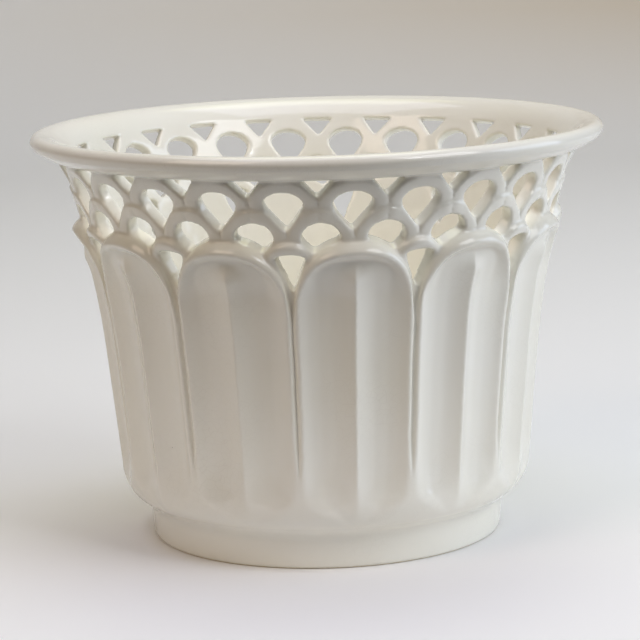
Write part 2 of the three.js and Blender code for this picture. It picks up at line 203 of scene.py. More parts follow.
belt_section = [
    (FOOT_RADIUS - BELT_DEEP, FLOOR_BOTTOM),
    (UNDER_RADIUS, FLOOR_BOTTOM),
    *[
        (UNDER_RADIUS + BOWL_SWELL * math.sin(a), BELLY_HEIGHT - BOWL_ROUND * math.cos(a))
        for a in np.linspace(0, math.pi / 2, 14)[1:-1]
    ],
    *wall_line(0, BELLY_HEIGHT, BELT_TOP, 40),
    (face(BELT_TOP) - BELT_DEEP, BELT_TOP),
    (FOOT_RADIUS - BELT_DEEP, BELLY_HEIGHT),
]


def section_distance(section, r, z):
    """Signed distance to a closed outline, negative inside it."""
    points = np.array(section, float)
    following = np.roll(points, -1, axis=0)
    nearest = np.full(np.shape(r), 1e9)
    inside = np.zeros(np.shape(r), bool)
    for (ax, ay), (bx, by) in zip(points, following):
        ex, ey = bx - ax, by - ay
        if ex == 0 and ey == 0:
            continue
        t = np.clip(((r - ax) * ex + (z - ay) * ey) / (ex * ex + ey * ey), 0, 1)
        nearest = np.minimum(nearest, (r - ax - t * ex) ** 2 + (z - ay - t * ey) ** 2)
        if ey != 0:
            crosses = ((ay > z) != (by > z)) & (r < ax + (z - ay) * ex / ey)
            inside ^= crosses
    return np.where(inside, -1, 1) * np.sqrt(nearest)


print("cross-sections of", len(body_section), "and", len(belt_section), "points")

# %% [markdown]
# Clay forms meet softly under a glaze: it pools in every inner corner and thins over every
# edge. A bevel on each edge would take hundreds of loops on this lattice. A distance field
# gives the same softness everywhere for nothing: the forms are added and cut by a smooth
# minimum, and its width is the radius of the glaze in the corner.

# %% Soft joins and flat outlines
# The wall is drawn unrolled at this radius, so sizes along it are arcs
DRAWN_RADIUS = 84.0
PANELS = 12
HALF_PITCH = math.pi * DRAWN_RADIUS / PANELS
GROOVE_WIDTH = 2.8
PANEL_HALF = HALF_PITCH - GROOVE_WIDTH / 2
ARCH_RISE = 24.5
ARCH_POWER = 2.25
ARCH_SPRING = CROWN - ARCH_RISE
GROOVE_START = BELLY_HEIGHT + 7.0
GROOVE_POINT = 13.0
GROOVE_SHARP = 0.63
PANEL_MERGE = 1.5
MERGE_OVER = 3.0


def soft_min(a, b, width):
    """The lower of two fields, rounded where they meet."""
    h = np.maximum(width - np.abs(a - b), 0) / width
    return np.minimum(a, b) - h * h * width / 4


def soft_max(a, b, width):
    """The higher of two fields, rounded where they meet."""
    return -soft_min(-a, -b, width)


def ease(t):
    """0 to 1, slow at both ends."""
    t = np.clip(t, 0, 1)
    return t * t * (3 - 2 * t)


def arch_outline(u, y, half, spring, rise, power=2.0):
    """Distance to an arch: straight sides, and half an ellipse above the spring.

    A power over 2 gives the ellipse fuller shoulders.
    """
    across = np.abs(u) / half
    upward = np.maximum(y - spring, 0) / rise
    size = np.maximum((across**power + upward**power) ** (1 / power), 1e-6)
    slope = np.hypot(across ** (power - 1) / half, upward ** (power - 1) / rise) * size ** (1 - power)
    return (size - 1) / np.maximum(slope, 1e-6)


def oval_outline(u, y, half, middle, rise, drop):
    """Distance to an oval whose upper and lower halves differ in height."""
    return arch_outline(u, np.abs(y - middle), half, 0, np.where(y > middle, rise, drop))


def wedge_outline(u, y, half, shoulder, tip, softness):
    """Distance to two sides that run down to a softened point."""
    slope = half / (shoulder - tip)
    across = np.sqrt(u * u + softness**2) - softness
    return (across - slope * (y - tip)) / math.hypot(1, slope)


def wrap(u, count, start):
    """Arc from the nearest of count equal places round the pot."""
    pitch = 2 * math.pi * DRAWN_RADIUS / count
    return (u - start * pitch + pitch / 2) % pitch - pitch / 2


def panel_outline(u, y):
    """Distance to the nearest panel: its arch, and the groove that runs down beside it."""
    opening = np.clip((y - GROOVE_START) / GROOVE_POINT, 0, 1) ** GROOVE_SHARP
    merged = ease((GROOVE_START - y) / MERGE_OVER)
    half = HALF_PITCH - GROOVE_WIDTH / 2 * opening + PANEL_MERGE * merged
    sides = np.abs(u) - half
    arch = arch_outline(u, y, PANEL_HALF, ARCH_SPRING, ARCH_RISE, ARCH_POWER)
    return np.where(y < ARCH_SPRING, sides, arch)


print(f"{PANELS} panels, each {2 * PANEL_HALF:.1f} mm wide")

# %% [markdown]
# The modeller's tool marks come next. In each panel two hollows meet in a sharp arris. Both
# start in one round scoop under the arch, which rolls over them like a hood, and melt into
# the bowl above the foot. Their depth follows the distance to the nearest edge, from steep
# beside a groove to gentle where the edge has to vanish.

# %% Flutes and brow
# The flutes: the border beside them, their depth, how they end below and under the arch
BORDER = 0.25
FLUTE_HALF = PANEL_HALF - BORDER
FLUTE_CROWN = CROWN - 2.9
FLUTE_RISE = 23.0
FLUTE_POWER = 2.5
FLUTE_DEPTH = 3.1
FLUTE_CREST, CREST_OVER = 0.2, 4.0
HOLLOW_SOFT = 0.1
FLUTE_END = 14.5
FLUTE_FULL = 38.0
FLUTE_TAPER = 29.0
MELT = 1.3
RIDGE_ROUND = 0.7
RIM_SOFT, RIM_SOFT_TOP = 0.8, 1.6
SCOOP = 4.1
SCOOP_SHARE = 0.8
ARRIS_TOP = CROWN - 6.0
ARRIS_START = 9.0
ARRIS_SHARP, ARRIS_BLUNT, ARRIS_LIFT = 0.25, 2.0, 0.3

# The brow, which rolls over them
BROW_RISE = 2.7
BROW_DROP = 1.0
BROW_ROLL = 3.0
BROW_EDGE = 1.2
BROW_LENGTH = 18.5
BROW_CURVE = 1.4


def flute_depth(u, y):
    """How far the hollows lie below the panel face."""
    over = arch_outline(u, y, FLUTE_HALF, FLUTE_CROWN - FLUTE_RISE, FLUTE_RISE, FLUTE_POWER)
    taper = np.sin(np.clip((y - FLUTE_END) / (FLUTE_TAPER - FLUTE_END), 0, 1) * math.pi / 2)
    top = ease((y - ARCH_SPRING) / (FLUTE_CROWN - ARCH_SPRING) / SCOOP_SHARE)
    fade = ease((y - FLUTE_END) / (FLUTE_FULL - FLUTE_END))
    rim = np.minimum(-over, FLUTE_HALF * taper - np.abs(u))
    rim = soft_max(rim, 0, RIM_SOFT + RIM_SOFT_TOP * top)

    # From the outer edge, one hollow wide beside the arris and SCOOP wide under the arch
    inward = np.clip(rim / (FLUTE_HALF / 2 + (SCOOP - FLUTE_HALF / 2) * top), 0, 1)
    melt = ease(MELT * (FLUTE_FULL - y) / (FLUTE_FULL - FLUTE_END)) + RIDGE_ROUND * top
    from_rim = (1 - melt) * (1 - (1 - inward) ** 2) + melt * ease(inward)

    # From the arris, which starts a little below the arch and grows blunt near the foot
    blunt = ARRIS_SHARP + ARRIS_BLUNT * (1 - fade) ** 2
    arris = np.sqrt(u * u + blunt**2) - blunt * ARRIS_LIFT
    from_arris = 1 - (1 - np.clip(arris / (FLUTE_HALF / 2), 0, 1)) ** 2
    from_arris = 1 - (1 - from_arris) * ease((ARRIS_TOP - y) / ARRIS_START)

    crest = FLUTE_CREST * ease(rim / CREST_OVER)
    return (FLUTE_DEPTH * soft_min(from_arris, from_rim, HOLLOW_SOFT) + crest) * fade


def brow_height(y, inside):
    """How far the arch stands proud of the face, rolled over at its edge."""
    rise = ease((y - (CROWN - BROW_ROLL - BROW_LENGTH)) / BROW_LENGTH)
    over = np.clip(1 - inside / (BROW_EDGE + (BROW_ROLL - BROW_EDGE) * rise), 0, 1)
    return rise * (BROW_RISE - (BROW_RISE + BROW_DROP) * over**BROW_CURVE)


print(f"flutes {FLUTE_DEPTH} mm deep under brows {BROW_RISE} mm proud")

# %% [markdown]
# The lattice is a wall of overlapping scales. The lower scales lie a little in front of the
# upper ones, and each is rounded across. The holes are cut by eye, so each row stands a
# little to one side of its true place, and the knife slants upward as it goes in.

# %% Holes
# Heights are those on the outer face. From the top: notches under the rim, fans, eyes,
# and a drop between two panels under its own small raised arch, the bridge
CELLS = 2 * PANELS
NOTCH_HALF = 4.65
NOTCH_DEPTH = 5.7
NOTCH_OVER = 0.2
FAN_HALF = 6.5
FAN_SHOULDER = CROWN + 12.5
FAN_ARCH = 4.9
FAN_TIP = CROWN + 4.0
EYE_HALF = 6.5
EYE_SHOULDER = CROWN + 0.9
EYE_ARCH = 6.0
EYE_BELLY = 5.8
DROP_HALF = 5.3
DROP_SHOULDER = CROWN - 5.8
DROP_ARCH = 2.2
DROP_TIP = DROP_SHOULDER - 12.0
TIP_SOFT, NOTCH_TIP_SOFT = 0.8, 0.5
FAN_CORNER, DROP_CORNER, EYE_CORNER = 1.6, 1.4, 2.2
EYE_TO_PANEL, EYE_TO_BRIDGE = 0.1, 0.0
BRIDGE_HALF = DROP_HALF + 4.0
BRIDGE_RISE = 12.0
BRIDGE_CROWN = DROP_SHOULDER + DROP_ARCH + 3.9
HOLE_SOFT = 0.8

# How far each row was cut off its true place
NOTCH_SHIFT = -1.2
FAN_SHIFT = -0.8
EYE_SHIFT = -0.4
DROP_SHIFT = 0.5


def bridge_outline(u, y):
    """Distance to the small raised arch between two panels."""
    return arch_outline(wrap(u, PANELS, 0.5), y, BRIDGE_HALF, BRIDGE_CROWN - BRIDGE_RISE, BRIDGE_RISE)


def hole_outlines(u, y, panel, bridge):
    """Distance to the nearest hole, negative in it."""
    notch_u = wrap(u - NOTCH_SHIFT, CELLS, 0.5)
    notch = wedge_outline(notch_u, y, NOTCH_HALF, LATTICE_TOP, LATTICE_TOP - NOTCH_DEPTH, NOTCH_TIP_SOFT)
    notch = soft_max(notch, y - LATTICE_TOP - NOTCH_OVER, HOLE_SOFT)
    fan_u = wrap(u - FAN_SHIFT, CELLS, 0)
    fan = soft_max(
        arch_outline(fan_u, y, FAN_HALF, FAN_SHOULDER, FAN_ARCH),
        wedge_outline(fan_u, y, FAN_HALF, FAN_SHOULDER, FAN_TIP, TIP_SOFT),
        FAN_CORNER,
    )
    eye_u = wrap(u - EYE_SHIFT, CELLS, 0.5)
    eye = oval_outline(eye_u, y, EYE_HALF, EYE_SHOULDER, EYE_ARCH, EYE_BELLY)
    eye = soft_max(eye, EYE_TO_PANEL - panel, EYE_CORNER)
    eye = soft_max(eye, EYE_TO_BRIDGE - bridge, EYE_CORNER)
    drop_u = wrap(u - DROP_SHIFT, PANELS, 0.5)
    drop = soft_max(
        arch_outline(drop_u, y, DROP_HALF, DROP_SHOULDER, DROP_ARCH),
        wedge_outline(drop_u, y, DROP_HALF, DROP_SHOULDER, DROP_TIP, TIP_SOFT),
        DROP_CORNER,
    )
    return np.minimum(np.minimum(notch, fan), np.minimum(eye, drop))


print("holes round the pot:", 3 * CELLS + PANELS)

# %% Scales
SCALE_BAND = 4.5
SCALE_STEP = 0.6
SCALE_EDGE = 1.1
SCALE_TILT = 9.0
SCALE_ROUND = 0.55
SCALE_NEAR, SCALE_FADE = 1.3, 0.6
BAND_HALF = 0.5


def scale_relief(u, y):
    """Height of the overlapping scales on the lattice."""
    relief = -SCALE_STEP
    rows = [
        (wrap(u - FAN_SHIFT, CELLS, 0), FAN_HALF, FAN_SHOULDER, FAN_ARCH),
        (wrap(u - EYE_SHIFT, CELLS, 0.5), EYE_HALF, EYE_SHOULDER, EYE_ARCH),
    ]
    for across, half, shoulder, rise in rows:
        edge = arch_outline(across, y, half + SCALE_BAND, shoulder, rise + SCALE_BAND)
        lies_back = ease(-edge / SCALE_TILT)
        step = SCALE_STEP * ease(0.5 - edge / SCALE_EDGE)
        relief = relief + step * (SCALE_NEAR - SCALE_FADE * lies_back)
        across_band = np.clip(edge / SCALE_BAND + BAND_HALF, -1, 1)
        relief = relief + SCALE_ROUND * np.maximum(BAND_HALF**2 - across_band**2, 0)
    return relief


print(f"each scale stands about {SCALE_STEP} mm over the one behind it")

# %% [markdown]
# Now the whole pot is one field. It is negative in the clay, positive in the air, and zero
# at the glaze. Its three arguments are the arc round the pot, the radius and the height.

# %% The pot as one field
# The slant of the knife, and the distance given well below the holes
HOLE_LEAN = 0.42
NO_HOLE, NO_HOLE_BELOW = 9.0, 3.0

# Where the lattice's relief and the panels' sides begin and end
SCALE_FOOT = CROWN - 14.0
SCALE_START = 4.0
RIM_FADE = 2.0
GROOVE_FALL = 0.8
GROOVE_STEEPENS = 12.0

# The hidden insides of the forms, and how the bridges sink
CORE_SINK = 2.0
SINK_ACROSS, SINK_UPWARD = 3.0, 4.0
BELT_BACK = 0.4
BRIDGE_PROUD = 0.5
BRIDGE_SINK = 3.0
BRIDGE_SINKS_OVER = 12.0
BRIDGE_OVERLAP, BRIDGE_TAIL = 1.5, 2.0

# Softness of the glazed corners
EDGE_SOFT = 0.8
FILLET = 1.1
FOOT_FILLET = 5.0
FOOT_FILLET_TOP, FOOT_FILLET_FADE = FLOOR_BOTTOM + 8.0, 6.0
BRIDGE_SOFT = 2.6


def pot_field(u, r, z, body, belt):
    """Signed distance to the pot. body and belt are the distances to the cross-sections."""
    # y is the height at which a line square to the wall leaves its outer face
    m = lean(z)
    above_ground = r - face(z) + GROOVE_DEPTH
    y = z + m * above_ground / (1 + m * m)
    y = np.where(z < WAIST_HEIGHT, z, y)
    panel = panel_outline(u, y)
    bridge = bridge_outline(u, y)
    cut = z + HOLE_LEAN * above_ground
    holes = hole_outlines(u, cut, panel_outline(u, cut), bridge_outline(u, cut))
    holes = np.where(cut > DROP_TIP - NO_HOLE_BELOW, holes, NO_HOLE)

    # The wall of the lattice, sunk behind the panels so that it never fills a flute
    outside = ease((r - face(z) + WALL) / (WALL - GROOVE_DEPTH))
    below_rim = ease((RIM_BOTTOM + RIM_FADE / 2 - z) / RIM_FADE)
    above_panels = ease((y - SCALE_FOOT) / SCALE_START)
    behind_panel = ease(-panel / SINK_ACROSS) * ease((z - FLOOR_BOTTOM) / SINK_UPWARD)
    core = body + CORE_SINK * behind_panel * outside
    lattice = core - scale_relief(u, y) * outside * below_rim * above_panels
    pierced = soft_max(lattice, -holes, HOLE_SOFT)

    # The panels, with sides that slope into the grooves and a back inside the wall
    raised = belt + flute_depth(u, y) - brow_height(y, -panel)
    steep = 1 - ease((y - ARCH_SPRING + GROOVE_STEEPENS / 2) / GROOVE_STEEPENS)
    side = (panel + GROOVE_FALL * steep * raised) / np.sqrt(1 + (GROOVE_FALL * steep) ** 2)
    back = (face(z) - WALL + BELT_BACK - r) / np.hypot(1, m)
    carved = np.maximum(soft_max(raised, side, EDGE_SOFT), back)

    # The bridges between the panels, proud at the crown and sinking as they come down
    sunk = BRIDGE_PROUD - BRIDGE_SINK * ease((BRIDGE_CROWN - y) / BRIDGE_SINKS_OVER)
    bridged = soft_max(soft_max(belt - sunk, bridge, BRIDGE_SOFT), -holes, HOLE_SOFT)
    bridged = np.maximum(np.maximum(bridged, back), -panel - BRIDGE_OVERLAP)
    bridged = np.maximum(bridged, BRIDGE_CROWN - BRIDGE_SINKS_OVER - BRIDGE_TAIL - y)

    fillet = FILLET + (FOOT_FILLET - FILLET) * ease((FOOT_FILLET_TOP - z) / FOOT_FILLET_FADE)
    return soft_min(soft_min(pierced, carved, fillet), bridged, FILLET)


def field_at(u, r, z):
    """The same field at loose points."""
    return pot_field(u, r, z, section_distance(body_section, r, z), section_distance(belt_section, r, z))


AWAY = 5.0
probe = field_at(np.zeros(1), face(WAIST_HEIGHT) + np.full(1, AWAY), np.full(1, WAIST_HEIGHT))
print(f"{AWAY:.0f} mm outside the waist the field reads {probe[0]:.1f} mm")

# %% [markdown]
# A field has no faces, so a net is drawn over it: space is cut into small cells, each cell
# that the surface crosses gets one point, and each grid edge that it crosses gets one quad.
# Blender's voxel remesh does the same on even cubes. This net is drawn in the pot's own
# directions instead, with finer rows on the lattice than on the plain flutes, and its
# points then slide onto the exact surface.

# %% The grid


def spaced(*stretches):
    """Grid lines from stretches of (start, end, step)."""
    lines = [np.array([stretches[0][0]], float)]
    for start, end, step in stretches:
        count = max(1, round((end - start) / step))
        lines.append(np.linspace(start, end, count + 1)[1:])
    return np.concatenate(lines)


COLUMNS = 27
CREST_CELL = 0.5
half_lines = np.linspace(CREST_CELL / 2, HALF_PITCH - CREST_CELL / 2, COLUMNS)
grid_u = np.concatenate([-half_lines[::-1], half_lines])
grid_r = spaced((30, 57, 3), (57, 107, 0.75))
grid_z = spaced(
    (-0.9, 18, 0.9), (18, 40, 1.1), (40, 88, 2.0), (88, 98, 1.0), (98, 152.4, 0.675)
)
print("grid lines round one panel, outward and upward:", len(grid_u), len(grid_r), len(grid_z))

# %% The net


def draw_net(lines_u, lines_r, lines_z, period):
    """Points and quads of the zero surface for one panel, and which corners lie in the panel before."""
    rr, zz = np.meshgrid(lines_r, lines_z, indexing="ij")
    body = section_distance(body_section, rr, zz)[None]
    belt = section_distance(belt_section, rr, zz)[None]
    value = pot_field(lines_u[:, None, None], rr[None], zz[None], body, belt)
    value = np.concatenate([value, value[:1]], axis=0)
    lines_u = np.append(lines_u, lines_u[0] + period)
    corner = [(a, b, c) for a in (0, 1) for b in (0, 1) for c in (0, 1)]
    nu, nr, nz = (n - 1 for n in value.shape)
    solid = value < 0
    counts = sum(solid[a : a + nu, b : b + nr, c : c + nz].astype(int) for a, b, c in corner)
    cells = np.argwhere((counts > 0) & (counts < 8))
    number = np.full((nu, nr, nz), -1)
    number[tuple(cells.T)] = np.arange(len(cells))
    total, hits = np.zeros((len(cells), 3)), np.zeros(len(cells))
    lines = (lines_u, lines_r, lines_z)
    for axis in range(3):
        for first in corner:
            if first[axis]:
                continue
            second = tuple(1 if i == axis else f for i, f in enumerate(first))
            v0 = value[tuple((cells + first).T)]
            v1 = value[tuple((cells + second).T)]
            crossed = (v0 < 0) != (v1 < 0)
            t = np.where(crossed, v0 / np.where(crossed, v0 - v1, 1), 0)
            for i in range(3):
                at0, at1 = lines[i][cells[:, i] + first[i]], lines[i][cells[:, i] + second[i]]
                total[:, i] += np.where(crossed, at0 + t * (at1 - at0), 0)
            hits += crossed
    points = total / hits[:, None]
    quads, before = [], []
    for axis in range(3):
        step = np.eye(3, dtype=int)
        b, c = (axis + 1) % 3, (axis + 2) % 3
        low = value[:-1] if axis else value
        a0 = np.take(low, range(low.shape[axis] - 1), axis)
        a1 = np.take(low, range(1, low.shape[axis]), axis)
        edges = np.argwhere((a0 < 0) != (a1 < 0))
        limits = (nu, nr, nz)
        keep = np.ones(len(edges), bool)
        for i in (b, c):
            if i:
                keep &= (edges[:, i] > 0) & (edges[:, i] < limits[i])
        edges = edges[keep]
        # Arc, radius and height make a left-handed frame, so a ring faces away from its axis
        turned = a0[tuple(edges.T)] < 0
        ring = [edges - step[b] - step[c], edges - step[c], edges, edges - step[b]]
        ids, wraps = [], []
        for cell in ring:
            wraps.append(-(cell[:, 0] < 0).astype(int))
            ids.append(number[cell[:, 0] % nu, cell[:, 1], cell[:, 2]])
        ids, wraps = np.stack(ids, 1), np.stack(wraps, 1)
        ids[turned], wraps[turned] = ids[turned][:, ::-1], wraps[turned][:, ::-1]
        quads.append(ids)
        before.append(wraps)
    return points, np.concatenate(quads), np.concatenate(before), number


period = 2 * HALF_PITCH
points, quads, before, number = draw_net(grid_u, grid_r, grid_z, period)
print(f"net of one panel: {len(points)} points, {len(quads)} quads, {time.time() - started:.1f} s")

# %% Slide the points onto the surface
NUDGE = 0.02
SLIDES = 4
SLOPE_LEAST, MOVE_MOST = 0.05, 0.4
for step in range(SLIDES):
    u, r, z = points.T
    value = field_at(u, r, z)
    slope = np.stack(
        [
            (field_at(u + NUDGE, r, z) - field_at(u - NUDGE, r, z)) * DRAWN_RADIUS / r,
            field_at(u, r + NUDGE, z) - field_at(u, r - NUDGE, z),
            field_at(u, r, z + NUDGE) - field_at(u, r, z - NUDGE),
        ],
        1,
    ) / (2 * NUDGE)
    size = np.maximum((slope**2).sum(1), SLOPE_LEAST)
    move = -np.clip(value / size, -MOVE_MOST, MOVE_MOST)[:, None] * slope
    move[:, 0] *= DRAWN_RADIUS / r
    points = points + move
print(f"left off the surface: {np.abs(value).mean():.4f} mm on average, {time.time() - started:.1f} s")

# %% [markdown]
# The twelve panels come from one mould, so the net is repeated round the axis.

# %% Repeat the panel round the pot
count = len(points)
turn = np.arange(PANELS)
arc = points[None, :, 0] + turn[:, None] * period
radius = np.broadcast_to(points[None, :, 1], arc.shape)
height = np.broadcast_to(points[None, :, 2], arc.shape)
faces = (quads[None] + ((turn[:, None, None] + before[None]) % PANELS) * count).reshape(-1, 4)
angle, radius, height = (arc / DRAWN_RADIUS).ravel(), radius.ravel(), height.ravel()
print("faces round the pot:", len(faces))

# %% [markdown]
# Hand finishing and the kiln leave no pot quite true. The rim is drawn in and down a little
# here and there, and the pierced holes wander by part of a degree. A few slow waves round
# the pot, from fixed seeds, give that without making it look crooked.

# %% The kiln's small movements


def slow_wave(angle, seed, lowest=2, count=3):
    """A smooth wave round the pot from -1 to 1."""
    draw = np.random.default_rng(seed)
    waves = [
        draw.uniform(0.5, 1) * np.sin((lowest + i) * angle + draw.uniform(0, 2 * math.pi))
        for i in range(count)
    ]
    return sum(waves) / count


RIM_SWAY = 0.35
HOLE_SWAY, HOLE_TWIST = 0.006, 30.0
SWAY_START = 20.0
RADIUS_SEED, HEIGHT_SEED, HOLE_SEED = 3, 5, 7
high = ease((height - SWAY_START) / (RIM_TOP - SWAY_START))
radius = radius - RIM_SWAY * high * (1 + slow_wave(angle, RADIUS_SEED)) / 2
height = height - RIM_SWAY * high * (1 + slow_wave(angle, HEIGHT_SEED))
wandering = slow_wave(angle + height / HOLE_TWIST, HOLE_SEED, lowest=7, count=5)
angle = angle + HOLE_SWAY * high * wandering
places = np.stack([radius * np.sin(angle), -radius * np.cos(angle), height], 1) * MM

# %% [markdown]
# The pot is one body under one glaze, so all of it becomes one mesh. The disc in the
# middle of the floor is flat on both sides, and a fan of faces closes each of them.

# %% Make the mesh
middles = []
for flat in (FLOOR_TOP, FLOOR_BOTTOM):
    k = int(np.searchsorted(grid_z, flat)) - 1
    ring = np.concatenate([number[:, 0, k] + t * count for t in range(PANELS)])
    if (ring % count != number[:, 0, k][0]).all() or (number[:, 0, k] < 0).any():
        print("open ring at", flat)
    middles.append((ring, flat))
mesh = bpy.data.meshes.new("glazed_pot")
extra = np.array([(0, 0, flat * MM) for _, flat in middles])
fans = []
for i, (ring, flat) in enumerate(middles):
    centre = len(places) + i
    following = np.roll(ring, -1)
    pair = (ring, following) if flat == FLOOR_TOP else (following, ring)
    fans += [(int(a), int(b), centre) for a, b in zip(*pair)]
mesh.from_pydata(np.concatenate([places, extra]).tolist(), [], faces.tolist() + fans)
mesh.validate()
mesh.shade_smooth()
pot = bpy.data.objects.new("glazed_pot", mesh)
bpy.context.scene.collection.objects.link(pot)
print(f"pot of {len(mesh.polygons)} faces, {time.time() - started:.1f} s")

# %% [markdown]
# Glaze runs off edges and gathers in corners, where its cream tone deepens. How sharply the
# surface bends at each point says which is which. The field gives it directly, and it is
# kept on the mesh for the material to read.

# %% Where the glaze pools
REACH = 1.6
u, r, z = points.T
around = [
    field_at(u + REACH * DRAWN_RADIUS / r, r, z),
    field_at(u - REACH * DRAWN_RADIUS / r, r, z),
    field_at(u, r + REACH, z),
    field_at(u, r - REACH, z),
    field_at(u, r, z + REACH),
    field_at(u, r, z - REACH),
]
bend = np.mean(around, axis=0)
pooling = np.tile(np.clip(0.5 - bend / REACH, 0, 1), PANELS)
layer = mesh.attributes.new("pooling", "FLOAT", "POINT")
layer.data.foreach_set("value", np.append(pooling, [0.5, 0.5]).astype(np.float32))
print(f"pooling from {pooling.min():.2f} on edges to {pooling.max():.2f} in corners")

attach(pot, "root")
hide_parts("foot_ring", "floor_disc", "fluted_wall", "pierced_lattice", "turned_rim")

# %% [markdown]
# Every material is a small chain of nodes. One helper adds a node with its settings and its
# links, and one turns a colour as it is seen on screen into the linear one that a shader
# works with.

# %% Helpers for materials


def linear(code):
    """An sRGB hex colour as linear RGBA."""
    parts = [int(code[i : i + 2], 16) / 255 for i in (1, 3, 5)]
    return (*(c / 12.92 if c <= 0.04045 else ((c + 0.055) / 1.055) ** 2.4 for c in parts), 1)


def add(tree, kind, inputs=None, **settings):
    """Adds a node. inputs maps a socket to a value, or to another node's output."""
    node = tree.nodes.new(kind)
    for name, value in settings.items():
        setattr(node, name, value)
    for name, value in (inputs or {}).items():
        if isinstance(value, bpy.types.NodeSocket):
            tree.links.new(value, node.inputs[name])
        else:
            node.inputs[name].default_value = value
    return node


print("a middle grey on screen, in linear light:", round(linear("#808080")[0], 3))

# %% [markdown]
# Lead glaze over cream earthenware is a clear, glossy glass about 0.2 mm thick with an IOR
# near 1.55, fired at a low heat. It gives sharp small highlights on a soft cream body. The
# body has slow clouds of a paler and a creamier tone, and the glaze deepens where it pools.

# %% Tone of the clay and of the pooled glaze
MIX_A, MIX_B, MIX_OUT = 6, 7, 2
BODY_PALE, BODY_CREAM = "#F8F6ED", "#F5F2E2"
BODY_CLOUD = 45.0
POOLED = "#E6DFCF"
POOL_START = 0.55

glaze = bpy.data.materials.new("lead_glaze_on_cream_earthenware")
glaze.use_nodes = True
tree = glaze.node_tree
tree.nodes.clear()
place = add(tree, "ShaderNodeTexCoord").outputs["Object"]
clouds = add(
    tree, "ShaderNodeTexNoise",
    {"Vector": place, "Scale": 1 / (BODY_CLOUD * MM), "Detail": 3.0},
)
clay = add(
    tree, "ShaderNodeMix",
    {0: clouds.outputs[0], MIX_A: linear(BODY_PALE), MIX_B: linear(BODY_CREAM)},
    data_type="RGBA",
)
pool = add(tree, "ShaderNodeAttribute", attribute_name="pooling")
deep = add(
    tree, "ShaderNodeMapRange",
    {"Value": pool.outputs["Fac"], "From Min": POOL_START, "From Max": 1.0},
)
pooled = add(
    tree, "ShaderNodeMix",
    {0: deep.outputs[0], MIX_A: clay.outputs[MIX_OUT], MIX_B: linear(POOLED)},
    data_type="RGBA",
)
print("material:", glaze.name)

# %% [markdown]
# The glaze shrinks more than the clay, so it shows a faint net of crazing in patches. The
# real lines are about 0.05 mm wide, too fine to show here, so they are drawn about twice as
# wide and very faint. They are the edges of cells, bent so that no line is straight.

# %% Crazing
CRAZE_CELL = 2.6
CRAZE_LINE = 0.12
CRAZE_WANDER, CRAZE_BEND = 6.0, 1.6
CRAZE_PATCH = 38.0
PATCH_START, PATCH_FULL = 0.45, 0.7
CRAZE_MOST = 0.08
CRAZE_STAIN = "#A99C84"

wander = add(
    tree, "ShaderNodeTexNoise",
    {"Vector": place, "Scale": 1 / (CRAZE_WANDER * MM), "Detail": 1.0},
)
bent = add(
    tree, "ShaderNodeVectorMath",
    {0: wander.outputs["Color"], 1: (CRAZE_BEND * MM,) * 3, 2: place},
    operation="MULTIPLY_ADD",
).outputs[0]
net = add(
    tree, "ShaderNodeTexVoronoi",
    {"Vector": bent, "Scale": 1 / (CRAZE_CELL * MM)},
    feature="DISTANCE_TO_EDGE",
)
line = add(
    tree, "ShaderNodeMapRange",
    {"Value": net.outputs[0], "From Max": CRAZE_LINE / CRAZE_CELL, "To Min": 1.0, "To Max": 0.0},
)
patches = add(
    tree, "ShaderNodeTexNoise",
    {"Vector": place, "Scale": 1 / (CRAZE_PATCH * MM), "Detail": 2.0},
)
patch = add(
    tree, "ShaderNodeMapRange",
    {
        "Value": patches.outputs[0],
        "From Min": PATCH_START,
        "From Max": PATCH_FULL,
        "To Max": CRAZE_MOST,
    },
)
craze = add(
    tree, "ShaderNodeMath",
    {0: line.outputs[0], 1: patch.outputs[0]},
    operation="MULTIPLY",
)
crazed = add(
    tree, "ShaderNodeMix",
    {0: craze.outputs[0], MIX_A: pooled.outputs[MIX_OUT], MIX_B: linear(CRAZE_STAIN)},
    data_type="RGBA",
)
print(f"crazing: cells of {CRAZE_CELL} mm, at most {CRAZE_MOST:.0%} stained")

# %% [markdown]
# Grains of iron in the clay burn through as a few brown specks, the middles of wide cells.
# The ring that the pot stands on is wiped bare before the firing and stays rough, with a
# ragged upper limit.

# %% Iron specks and the bare standing edge
SPECK_CELL = 24.0
SPECK_SIZE = 0.24
SPECK_BLUR = 1.8
SPECK_MOST = 0.5
SPECK_IRON = "#5E4A36"
BARE_EDGE = 0.35
BARE_GRIT = 1.5
BARE_RAGGED = 0.5
BARE_CLAY = "#D8CBB0"

dots = add(tree, "ShaderNodeTexVoronoi", {"Vector": bent, "Scale": 1 / (SPECK_CELL * MM)})
share = SPECK_SIZE / SPECK_CELL
speck = add(
    tree, "ShaderNodeMapRange",
    {
        "Value": dots.outputs["Distance"],
        "From Min": share,
        "From Max": SPECK_BLUR * share,
        "To Min": SPECK_MOST,
        "To Max": 0.0,
    },
)
specked = add(
    tree, "ShaderNodeMix",
    {0: speck.outputs[0], MIX_A: crazed.outputs[MIX_OUT], MIX_B: linear(SPECK_IRON)},
    data_type="RGBA",
)
apart = add(tree, "ShaderNodeSeparateXYZ", {0: place})
grit = add(
    tree, "ShaderNodeTexNoise",
    {"Vector": place, "Scale": 1 / (BARE_GRIT * MM), "Detail": 2.0},
)
ragged = add(
    tree, "ShaderNodeMath",
    {0: grit.outputs[0], 1: -BARE_RAGGED * MM, 2: apart.outputs["Z"]},
    operation="MULTIPLY_ADD",
)
bare = add(
    tree, "ShaderNodeMapRange",
    {"Value": ragged.outputs[0], "From Max": BARE_EDGE * MM, "To Min": 1.0, "To Max": 0.0},
)
colour = add(
    tree, "ShaderNodeMix",
    {0: bare.outputs[0], MIX_A: specked.outputs[MIX_OUT], MIX_B: linear(BARE_CLAY)},
    data_type="RGBA",
)
